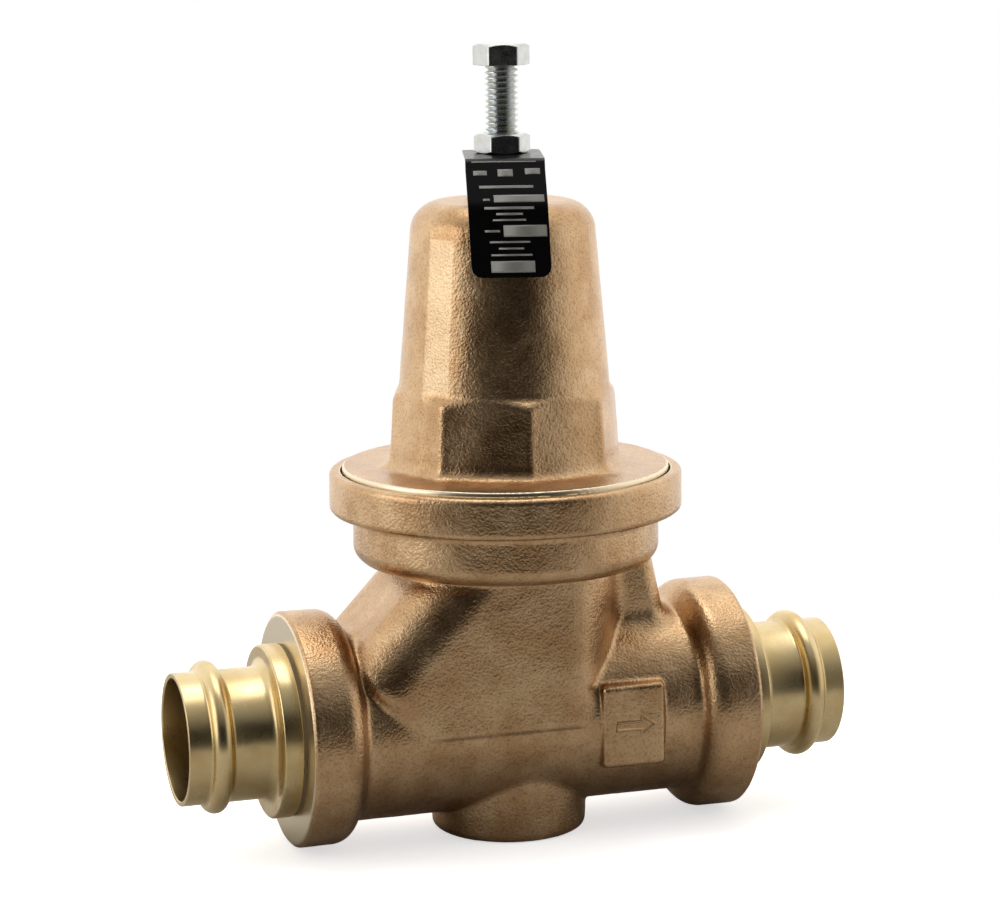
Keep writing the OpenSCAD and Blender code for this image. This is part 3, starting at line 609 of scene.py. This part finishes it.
class VALVE_OT_bonnet(bpy.types.Operator):
    """Cast bonnet with its screwed flange, wrench flats, tapered tower and neck"""
    bl_idname = "valve.bonnet"
    bl_label = "Bonnet"

    def execute(self, context):
        s = context.scene.valve_sizes
        bottom, top = low("bonnet")[2], high("bonnet")[2]
        flange = high("bonnet")[0]
        flange_top = bottom + 10.5 * MM
        octagon_top = flange_top + 20.6 * MM
        crown = top - 12.9 * MM
        field = CastField((-flange, -flange, bottom), (flange, flange, top), s.voxel)
        x, y, z = field.x, field.y, field.z
        stem = np.hypot(x, y)

        # screwed flange, and the tapered tower with a strip ground on each side
        rim = round_bar(stem, z, flange, bottom, flange_top, 0.7 * MM)
        tower_foot, taper = octagon_top + 3.8 * MM, (30.1 - 26.5) / 42
        tower_radius = stem + (z - tower_foot) * taper
        tower = round_bar(tower_radius * 0.996, z, 30.1 * MM, bottom, crown, 8 * MM)
        strip_turn, strip_reach = math.radians(-59), 29.88 * MM
        for turn in (strip_turn, strip_turn + math.pi):
            strip = x * math.sin(turn) - y * math.cos(turn) + (tower_radius - stem) - strip_reach
            tower = np.maximum(tower, strip)

        # octagonal wrench flats under a turned slope
        flats, corner = 31.6 * MM, 33.2 * MM
        draft = math.tan(math.radians(3.5))
        octagon = z - octagon_top - 1.5 * MM
        for k in range(8):
            turn = math.radians(16.3 + 45 * k)
            side = x * math.cos(turn) + y * math.sin(turn)
            octagon = keep(octagon, side - flats + (z - flange_top) * draft, 0.9 * MM)
        slope = stem + (z - octagon_top) * 1.25 - corner
        octagon = keep(octagon, slope * 0.62, 1.5 * MM)
        octagon = keep(octagon, bottom - z, 0.5 * MM)
        tower = blend(tower, octagon, 2 * MM)
        shape = blend(rim, tower, 4 * MM)
        neck = round_bar(stem, z, 9.5 * MM, crown - 5 * MM, top, 0.6 * MM)
        shape = blend(shape, neck, 3 * MM)

        # screw hole, spring chamber and room for the diaphragm
        screw = round_bar(stem, z, 4.95 * MM, crown - 12 * MM, top + BEYOND, 0.1 * MM)
        spring_room = round_bar(tower_radius, z, 25.2 * MM, bottom - 20 * MM, crown - 5 * MM, 3 * MM)
        roll_room = round_bar(stem, z, 36 * MM, bottom - BEYOND, bottom + 4 * MM)
        for cut in (screw, spring_room, roll_room):
            shape = np.maximum(shape, -cut)
        shape = np.maximum(shape, bottom - z)

        def machined(p):
            radius = np.hypot(p[:, 0], p[:, 1])
            thread = ((radius > flange - 0.5 * MM) & (p[:, 2] < flange_top + MM)) | (radius < 6 * MM)
            shell = strip_reach - 0.05 * MM - (p[:, 2] - tower_foot) * taper
            across = np.abs(p[:, 0] * math.sin(strip_turn) - p[:, 1] * math.cos(strip_turn))
            ground = (across > shell) & (p[:, 2] > octagon_top + 3 * MM) & (p[:, 2] < crown - 9 * MM)
            return np.maximum(thread, 0.2 * ground)

        made = cast_object("valve_bonnet", field, shape, finish("cast_bronze"), machined, s.grain)
        show(made, "root", "cast_bronze", "bonnet")
        return {"FINISHED"}


class VALVE_OT_press_ends(bpy.types.Operator):
    """Turned brass press ends with their O-ring beads"""
    bl_idname = "valve.press_ends"
    bl_label = "Press ends"

    def execute(self, context):
        for side, name in ((-1, "inlet_press_end"), (1, "outlet_press_end")):
            start, mouth = sorted((abs(low(name)[0]), abs(high(name)[0])))
            shoulder_radius = high(name)[1]
            shoulder = mouth - 31.4 * MM
            tube = SOCKET_RADIUS + 1.45 * MM
            bead = mouth - 9.65 * MM
            bead_radius, crest_radius, valley, spacing = 21.9 * MM, 3 * MM, 1.1 * MM, 3.9 * MM
            spigot, lip = 20.9 * MM, shoulder + 5.6 * MM
            stop, stop_depth = SOCKET_RADIUS - 1.65 * MM, mouth - 26 * MM
            ring = high("inlet_press_ring")[1] + 0.02 * MM
            groove_out, groove_in = bead + 1.6 * MM, bead - 1.6 * MM
            crest = arc((bead_radius - crest_radius, bead), crest_radius, -72.9, 72.9, 12)
            inner_fillet = arc((tube + valley, bead - spacing), valley, 180, 107.1, 6)
            outer_fillet = arc((tube + valley, bead + spacing), valley, 252.9, 180, 6)
            ridge = [(r, z, 0) for r, z in inner_fillet + crest[1:] + outer_fillet[1:]]
            corners = [
                (stop, start, 0.3 * MM), (spigot, start, 0.8 * MM), (spigot, shoulder, 0),
                (shoulder_radius, shoulder, 0.4 * MM), (shoulder_radius, lip, 0.8 * MM),
                (tube, lip, 3.4 * MM), *ridge,
                (tube, mouth, 0.35 * MM), (SOCKET_RADIUS, mouth, 0.35 * MM),
                (SOCKET_RADIUS, groove_out, 0.2 * MM), (ring, groove_out, 0.3 * MM),
                (ring, groove_in, 0.3 * MM), (SOCKET_RADIUS, groove_in, 0.2 * MM),
                (SOCKET_RADIUS, stop_depth, 0.2 * MM), (stop, stop_depth, 0.3 * MM)]
            made = lathe(name + "_turned", rounded_outline(corners, 8), finish("turned_brass"),
                         along_pipe(side), 192, 30)
            show(made, "root", "machined_brass", name)
            outer, back = shoulder_radius - 0.3 * MM, shoulder - 0.8 * MM
            washer = [(spigot, shoulder, 0), (spigot, back, 0), (outer, back, 0), (outer, shoulder, 0)]
            seal = lathe(name + "_seal", rounded_outline(washer), finish("fibre"), along_pipe(side),
                         128, 30)
            show(seal, "root", "seal_fibre", name.replace("press_end", "face_seal"))
        return {"FINISHED"}


def hex_radius(angle, flats, corner):
    """Distance from the middle to a hexagon's edge, with its corners cut back a little."""
    inner = flats / 2 / math.cos((angle % (math.pi / 3)) - math.pi / 6)
    return min(inner, flats / 2 / math.cos(math.pi / 6) - corner)


def hexagon(name, flats, bottom, top, turn, bore, both, material):
    """A six-sided head or nut whose faces are turned to a cone, with softened edges."""
    segments = 144
    face = flats / 2 * 0.96
    slope = math.tan(math.radians(28))
    under_slope = slope if both else 0
    soft, bevel = 0.12 * MM, 0.5 * MM

    def outline(r):
        """Radius and height round the section, from the bore over the top, where the side is at r."""
        cone = [face + (r - face) * share - soft * (share == 1.0) for share in (0.25, 0.5, 0.75, 1.0)]
        upper = [(c, top - max(c - face, 0) * slope) for c in cone]
        lower = [(c, bottom + max(c - face, 0) * under_slope) for c in reversed(cone)]
        drop = max(r - face, 0)
        return [(bore, top - bevel), (bore + bevel, top), (face, top), *upper,
                (r, top - drop * slope - soft), (r, bottom + drop * under_slope + soft),
                *lower, (face, bottom), (bore + bevel, bottom), (bore, bottom + bevel)]

    angles = [2 * math.pi * k / segments for k in range(segments)]
    rows = list(zip(*(outline(hex_radius(angle, flats, 0.15 * MM)) for angle in angles)))
    vertices = [(r * math.cos(angle + turn), r * math.sin(angle + turn), z)
                for row in rows for angle, (r, z) in zip(angles, row)]
    faces = [f[::-1] for f in grid_faces(len(rows), segments, wrap_rows=bore > 0, wrap_columns=True)]
    if bore <= 0:
        faces.append(tuple(range(segments)))
    return make_object(name, vertices, faces, material, 22)


def screw_thread(name, radius, pitch, bottom, top, material):
    """A threaded rod: one strip of crest, flank and root wound up the rod, closed at both ends."""
    segments = 56
    depth = 0.60 * pitch
    # one turn of the strip, as shares of the pitch and of the depth
    shape = [(0.0, 0.0), (0.07, 0.0), (0.11, 0.12), (0.42, 1.0), (0.50, 1.08), (0.58, 1.0), (0.89, 0.12),
             (0.93, 0.0)]
    turns = int(math.ceil((top - bottom) / pitch))
    rings = turns * segments
    vertices = []
    for i in range(rings + 1):
        angle = 2 * math.pi * i / segments
        for share, deep in shape:
            z = bottom + pitch * (i / segments + share - 0.5)
            z = min(max(z, bottom), top)
            r = radius - deep * depth
            fade = min(1.0, (z - bottom) / pitch)
            r = r * fade + (radius - 1.1 * depth) * (1 - fade)
            vertices.append((r * math.cos(angle), r * math.sin(angle), z))
    count = len(shape)
    faces = grid_faces(rings + 1, count)
    for i in range(rings - segments):
        a, b = i * count + count - 1, (i + segments) * count
        faces.append((a, a + count, b + count, b))
    return make_object(name, vertices, faces, material, 40)


class VALVE_OT_adjusting_screw(bpy.types.Operator):
    """Zinc-plated adjusting screw with a rolled thread and a hexagon head"""
    bl_idname = "valve.adjusting_screw"
    bl_label = "Adjusting screw"

    def execute(self, context):
        s = context.scene.valve_sizes
        bottom, top = low("adjusting_screw")[2], high("adjusting_screw")[2]
        head = top - 5.95 * MM
        zinc = finish("zinc")
        rod = screw_thread("screw_rod", 4.7625 * MM, s.pitch, bottom, head + 0.4 * MM, zinc)
        cap = hexagon("screw_head", HEX_FLATS, head, top, math.radians(-73.7), 0, False, zinc)
        for made in (rod, cap):
            show(made, "screw", "zinc_plated_steel", "adjusting_screw")
        return {"FINISHED"}


class VALVE_OT_lock_nut(bpy.types.Operator):
    """Zinc-plated lock nut under the screw's head"""
    bl_idname = "valve.lock_nut"
    bl_label = "Lock nut"

    def execute(self, context):
        bottom, top = low("lock_nut")[2], high("lock_nut")[2]
        nut = hexagon("jam_nut", HEX_FLATS, bottom, top, math.radians(-70), 4.8 * MM, True,
                      finish("zinc"))
        show(nut, "nut", "zinc_plated_steel", "lock_nut")
        return {"FINISHED"}


class TagPath:
    """The nameplate's path from behind the screw over the neck and down the flap."""

    def __init__(self):
        self.bottom = low("nameplate")[2]
        self.top = high("nameplate")[2]
        self.thick = 0.5 * MM
        knee = self.top - self.thick - 11.8 * MM
        lean, flap = math.radians(4.3), 20 * MM
        end = (27.2 * MM + flap * math.sin(lean), knee - flap * math.cos(lean))
        corners = [(-11 * MM, self.top, 0), (20 * MM, self.top, 2.2 * MM), (27.45 * MM, knee, 6 * MM),
                   (end[0] + 0.3 * MM, end[1], 0)]
        line = [corners[0][:2]]
        for before, corner, after in zip(corners, corners[1:], corners[2:]):
            bend = rounded_outline([before[:2] + (0,), corner, after[:2] + (0,)], 10)
            line += bend[1:-1]
        line.append(corners[-1][:2])
        self.line = [Vector(p) for p in line]
        steps = [(b - a).length for a, b in zip(self.line, self.line[1:])]
        self.marks = np.concatenate([[0], np.cumsum(steps)])
        self.length = float(self.marks[-1])

    def at(self, along):
        """Place and outward normal at a distance along the path."""
        i = min(max(int(np.searchsorted(self.marks, along)) - 1, 0), len(self.line) - 2)
        a, b = self.line[i], self.line[i + 1]
        share = (along - self.marks[i]) / max(self.marks[i + 1] - self.marks[i], 1e-9)
        point = a.lerp(b, share)
        heading = (b - a).normalized()
        return point, Vector((-heading.y, heading.x))

    def place(self, across, along, lift=0.0):
        """A point on the plate in the row's frame, lifted off its outer face."""
        point, normal = self.at(along)
        out = point + normal * lift
        drop = self.top - out.y
        across = across + 0.045 * max(drop - 3 * MM, 0)  # the flap hangs a little sideways
        forward = Vector((math.sin(TAG_TURN), -math.cos(TAG_TURN)))
        aside = Vector((math.cos(TAG_TURN), math.sin(TAG_TURN)))
        flat = forward * out.x + aside * across
        return Vector((flat.x, flat.y, out.y))


def rounded_half(along, whole, half, first, last):
    """Half width of a strip at a distance along it, with rounded corners at both ends."""
    for radius, far in ((first, along), (last, whole - along)):
        if far < radius:
            return half - radius + math.sqrt(max(radius ** 2 - (radius - far) ** 2, 0))
    return half


class VALVE_OT_nameplate(bpy.types.Operator):
    """Bent enamelled tag with blank printed fields"""
    bl_idname = "valve.nameplate"
    bl_label = "Nameplate"

    def execute(self, context):
        path = TagPath()
        half = 11.1 * MM
        # evenly spaced stops, the path's bends, and more at the rounded corners
        stops = sorted({*np.linspace(0, path.length, 90), *path.marks,
                        *(c * MM for c in (0.08, 0.32, 0.8, 1.44)),
                        *(path.length - c * MM for c in (0.03, 0.12, 0.3, 0.6, 1.0, 1.6, 2.2))})
        columns = 13
        outer, inner = [], []
        for along in stops:
            w = rounded_half(along, path.length, half, 1.8 * MM, 3.0 * MM)
            for k in range(columns):
                across = w * (2 * k / (columns - 1) - 1)
                outer.append(path.place(across, along))
                inner.append(path.place(across, along, -path.thick))
        rows = len(stops)
        face = grid_faces(rows, columns)
        count = rows * columns
        faces = face + [tuple(count + i for i in reversed(f)) for f in face]
        last_row, last = (rows - 1) * columns, columns - 1
        border = [*range(0, last_row, columns), *range(last_row, last_row + last),
                  *range(last_row + last, last, -columns), *range(last, 0, -1)]
        rim_start = len(faces)
        for a, b in zip(border, border[1:] + border[:1]):
            faces.append((b, a, count + a, count + b))
        plate = make_object("nameplate_bent", outer + inner, faces, finish("black_enamel"), 40)
        plate.data.materials.append(finish("bare_edge"))
        for polygon in plate.data.polygons[rim_start:]:
            polygon.material_index = 1
        radius, low_end, high_end = 4.85 * MM, path.top - 2 * MM, path.top + 2 * MM
        bore = lathe("bore_tool", [(0, low_end), (radius, low_end), (radius, high_end), (0, high_end)],
                     finish("bare_edge"))
        drill = plate.modifiers.new("bore", "BOOLEAN")
        drill.operation = "DIFFERENCE"
        drill.object = bore
        drill.solver = "EXACT"
        apply_modifiers(plate)
        bpy.data.objects.remove(bore)
        show(plate, "tag", "black_plate", "nameplate")
        self.print_fields(path)
        return {"FINISHED"}

    def print_fields(self, path):
        """Blank silver fields and plain rules, raised by the thickness of the ink. Each is (left, right,
        lower edge, upper edge) in millimetres from the flap's middle and from its end."""
        end = path.length
        fields = [(-3.8, 10.2, 20.9, 23.1), (-1.6, 10.4, 11.3, 14.5), (-5.6, 6.6, 1.4, 4.6)]
        rules = [(-9.4, 8.6, 33.2, 33.5), (-9.0, -5.2, 29.2, 30.6), (-2.2, 2.0, 28.8, 31.0),
                 (5.4, 9.6, 29.4, 31.2), (-7.6, 7.4, 25.2, 26.0), (-6.8, -4.9, 21.4, 22.0),
                 (-6.6, 7.2, 18.9, 19.6), (-3.4, 4.0, 17.3, 17.9), (-4.4, 4.8, 15.7, 16.2),
                 (-6.8, -2.6, 12.6, 13.2), (-5.6, 5.6, 9.6, 10.1), (-3.2, 3.8, 7.8, 8.3),
                 (-5.4, 6.0, 6.0, 6.5)]
        for label, rows in (("blank_fields", fields), ("plain_rules", rules)):
            vertices, faces = [], []
            for left, right, low_edge, high_edge in rows:
                base = len(vertices)
                steps = 6
                for i in range(steps + 1):
                    along = end - (low_edge + (high_edge - low_edge) * i / steps) * MM
                    vertices += [path.place(edge * MM, along, 0.03 * MM) for edge in (left, right)]
                faces += [tuple(base + v for v in f) for f in grid_faces(steps + 1, 2)]
            made = make_object("tag_" + label, vertices, faces, finish("silver_ink"), 40)
            ink = made.modifiers.new("ink", "SOLIDIFY")
            ink.thickness = 0.05 * MM
            ink.offset = 0
            apply_modifiers(made)
            show(made, "tag", "black_plate")


class VALVE_OT_springs(bpy.types.Operator):
    """Adjusting and return springs inside the bonnet"""
    bl_idname = "valve.springs"
    bl_label = "Springs"

    def execute(self, context):
        lo, hi = low("adjusting_spring"), high("adjusting_spring")
        outer = width("adjusting_spring") / 2
        wire = 3 * MM
        # the coil is made in two pieces, split at a share of its turns
        split = 0.28
        middle = lo[2] + (hi[2] - lo[2]) * 0.26
        for name, first, last, body, start, end in (
                ("range_spring_lower", 0.0, split, "trim", middle, lo[2] + wire),
                ("range_spring_upper", split, 1.0, "spring_button", middle, hi[2] - wire)):
            main = coil(name, outer - wire, wire - 0.05 * MM, lo[2], hi[2], 6.5, finish("spring_wire"),
                        first, last)
            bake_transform(main)
            show(main, None, "spring_steel", "adjusting_spring")
        lo, hi = low("return_spring"), high("return_spring")
        outer = width("return_spring") / 2
        light = coil("closing_spring", outer - 0.6 * MM, 0.58 * MM, lo[2], hi[2], 5, finish("stainless"))
        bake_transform(light)
        show(light, None, "stainless_steel", "return_spring")
        return {"FINISHED"}


class VALVE_OT_inner_parts(bpy.types.Operator):
    """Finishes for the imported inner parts, which keep their own shapes"""
    bl_idname = "valve.inner_parts"
    bl_label = "Inner parts"

    finishes = {
        "zinc": ("upper_spring_button", "lower_spring_plate"),
        "cage_brass": ("cartridge_cage", "disc_holder", "diaphragm_washer"),
        "stainless": ("stem", "stem_nut", "disc_nut", "valve_seat", "strainer"),
        "rubber": ("diaphragm", "stem_seal", "cage_upper_seal", "cage_lower_seal", "seat_disc",
                   "inlet_press_ring", "outlet_press_ring"),
        "slip_plastic": ("slip_ring",),
    }

    def execute(self, context):
        for name, nodes in self.finishes.items():
            for node in nodes:
                for slot in frame["nodes"][node].material_slots:
                    slot.material = finish(name)
        return {"FINISHED"}


class VALVE_OT_stage(bpy.types.Operator):
    """Pale floor, soft studio light and the camera"""
    bl_idname = "valve.stage"
    bl_label = "Stage"

    def execute(self, context):
        scene = context.scene
        scene.view_settings.view_transform = "Standard"
        floor_radius = 0.42
        rim = [(x, y, 0) for x, y in arc((0, 0), floor_radius, 0, 355, 71)]
        floor = make_object("floor", rim, [tuple(range(len(rim)))], self.paper())
        self.light_room(scene)
        middle = Vector((0, 0, 0.11))
        for name, place, power in (("left_softbox", (-1.0, -0.05, 0.40), 2.2),
                                   ("top_softbox", (0.05, 0.15, 1.2), 3.0)):
            light = bpy.data.lights.new(name, "AREA")
            light.shape = "SQUARE"
            light.size = 0.7
            light.energy = power
            lamp = bpy.data.objects.new(name, light)
            lamp.location = place
            lamp.rotation_euler = (middle - Vector(place)).to_track_quat("-Z", "Y").to_euler()
            scene.collection.objects.link(lamp)
        self.place_camera(scene)
        return {"FINISHED"}

    def paper(self):
        """Matt studio paper. The camera sees it white with a soft shadow, and no horizon further out;
        every other ray meets pale grey paper, so that the metal mirrors less light from below."""
        material, tree, shader, place = start_material("white_studio_paper")
        seen = add_node(tree, "ShaderNodeLightPath").outputs["Is Camera Ray"]
        tone = mix_colour(tree, seen, hex_to_linear("#c0bebb"), hex_to_linear("#fbfaf8"))
        tree.links.new(tone, shader.inputs["Base Color"])
        shader.inputs["Roughness"].default_value = 0.95
        shader.inputs["Specular IOR Level"].default_value = 0.0
        tree.links.new(bump(tree, noise(tree, place, 3 * MM), 0.02 * MM), shader.inputs["Normal"])
        glow, lift, dark = (add_node(tree, "ShaderNodeEmission", {"Strength": strength})
                            for strength in (1.0, 0.62, 0.0))
        away = add_node(tree, "ShaderNodeVectorMath", {0: place}, operation="LENGTH").outputs["Value"]
        far = spread(tree, away, 0.0, 1.0, 0.12, 0.34)
        near = add_node(tree, "ShaderNodeMixShader", {0: seen, 1: dark.outputs[0], 2: lift.outputs[0]})
        lit = add_node(tree, "ShaderNodeAddShader", {0: shader.outputs[0], 1: near.outputs[0]})
        share = maths(tree, "MULTIPLY", far, seen)
        mixed = add_node(tree, "ShaderNodeMixShader", {0: share, 1: lit.outputs[0], 2: glow.outputs[0]})
        tree.links.new(mixed.outputs[0], tree.nodes["Material Output"].inputs["Surface"])
        return material

    def light_room(self, scene):
        """A room that the camera sees as plain white. The metal is lit and mirrored by bright walls at the
        sides and behind, and a dim one in front, which keep their places when the camera moves."""
        world = bpy.data.worlds.new("studio")
        scene.world = world
        world.use_nodes = True
        tree = world.node_tree
        tree.nodes.clear()
        facing = add_node(tree, "ShaderNodeTexCoord").outputs["Generated"]
        aside, ahead = (add_node(tree, "ShaderNodeVectorMath", {0: facing, 1: heading},
                                 operation="DOT_PRODUCT").outputs["Value"]
                        for heading in ((0.95, -0.312, 0), (-0.312, -0.95, 0)))
        heading = maths(tree, "ARCTAN2", aside, ahead)
        turn = spread(tree, heading, 0.0, 1.0, -math.pi, math.pi)
        # brightness of the walls by heading in degrees, 0 being the front
        walls = [(-180, 1.35), (-105, 1.25), (-80, 0.9), (-62, 0.85), (-52, 0.4), (-42, 0.05), (-10, 0.01),
                 (34, 0.01), (50, 0.12), (66, 0.7), (95, 1.2), (180, 1.35)]
        wall = ramp(tree, turn, [((angle + 180) / 360, (v, v, v, 1)) for angle, v in walls])
        up = add_node(tree, "ShaderNodeSeparateXYZ", {"Vector": facing}).outputs[2]
        ceiling = spread(tree, up, 0.0, 0.5, 0.45, 0.9)
        strength = maths(tree, "MAXIMUM", wall, ceiling)
        seen = add_node(tree, "ShaderNodeBackground", {"Color": (1, 1, 1, 1), "Strength": 1.0})
        room = add_node(tree, "ShaderNodeBackground", {"Color": (1, 0.985, 0.965, 1), "Strength": strength})
        ray = add_node(tree, "ShaderNodeLightPath").outputs["Is Camera Ray"]
        mixed = add_node(tree, "ShaderNodeMixShader", {0: ray, 1: room.outputs[0], 2: seen.outputs[0]})
        output = add_node(tree, "ShaderNodeOutputWorld")
        tree.links.new(mixed.outputs[0], output.inputs["Surface"])

    def place_camera(self, scene):
        """A long lens a little to the inlet side, level with the bonnet."""
        target = Vector((-1.41, 0.46, 108.28)) * MM
        distance = 912.1 * MM
        azimuth, elevation, roll = (math.radians(a) for a in (-18.166, 10.359, -0.5925))
        turn = (Matrix.Rotation(azimuth, 4, "Z") @ Matrix.Rotation(math.pi / 2 - elevation, 4, "X")
                @ Matrix.Rotation(roll, 4, "Z"))
        data = bpy.data.cameras.new("camera")
        data.lens = 113.4
        data.sensor_width = 36
        camera = bpy.data.objects.new("camera", data)
        camera.matrix_world = Matrix.Translation(target + turn @ Vector((0, 0, distance))) @ turn
        scene.collection.objects.link(camera)
        scene.camera = camera


class VALVE_PT_panel(bpy.types.Panel):
    """Sizes, colours and pieces of the valve"""
    bl_idname = "VALVE_PT_panel"
    bl_label = "Pressure reducing valve"
    bl_space_type = "VIEW_3D"
    bl_region_type = "UI"
    bl_category = "Valve"

    def draw(self, context):
        for group in (context.scene.valve_sizes, context.scene.valve_colours):
            box = self.layout.box()
            for name in group.__annotations__:
                box.prop(group, name)
        for operator in PIECES:
            self.layout.operator(operator.bl_idname)


PIECES = (VALVE_OT_stage, VALVE_OT_body, VALVE_OT_bonnet, VALVE_OT_press_ends, VALVE_OT_adjusting_screw,
          VALVE_OT_lock_nut, VALVE_OT_nameplate, VALVE_OT_springs, VALVE_OT_inner_parts)
CLASSES = (ValveSizes, ValveColours, *PIECES, VALVE_PT_panel)


def register():
    for cls in CLASSES:
        bpy.utils.register_class(cls)
    bpy.types.Scene.valve_sizes = bpy.props.PointerProperty(type=ValveSizes)
    bpy.types.Scene.valve_colours = bpy.props.PointerProperty(type=ValveColours)


def unregister():
    del bpy.types.Scene.valve_sizes
    del bpy.types.Scene.valve_colours
    for cls in reversed(CLASSES):
        bpy.utils.unregister_class(cls)


def main():
    register()
    for operator in PIECES:
        getattr(bpy.ops.valve, operator.bl_idname.split(".")[1])()
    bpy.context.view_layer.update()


if __name__ == "__main__":
    main()
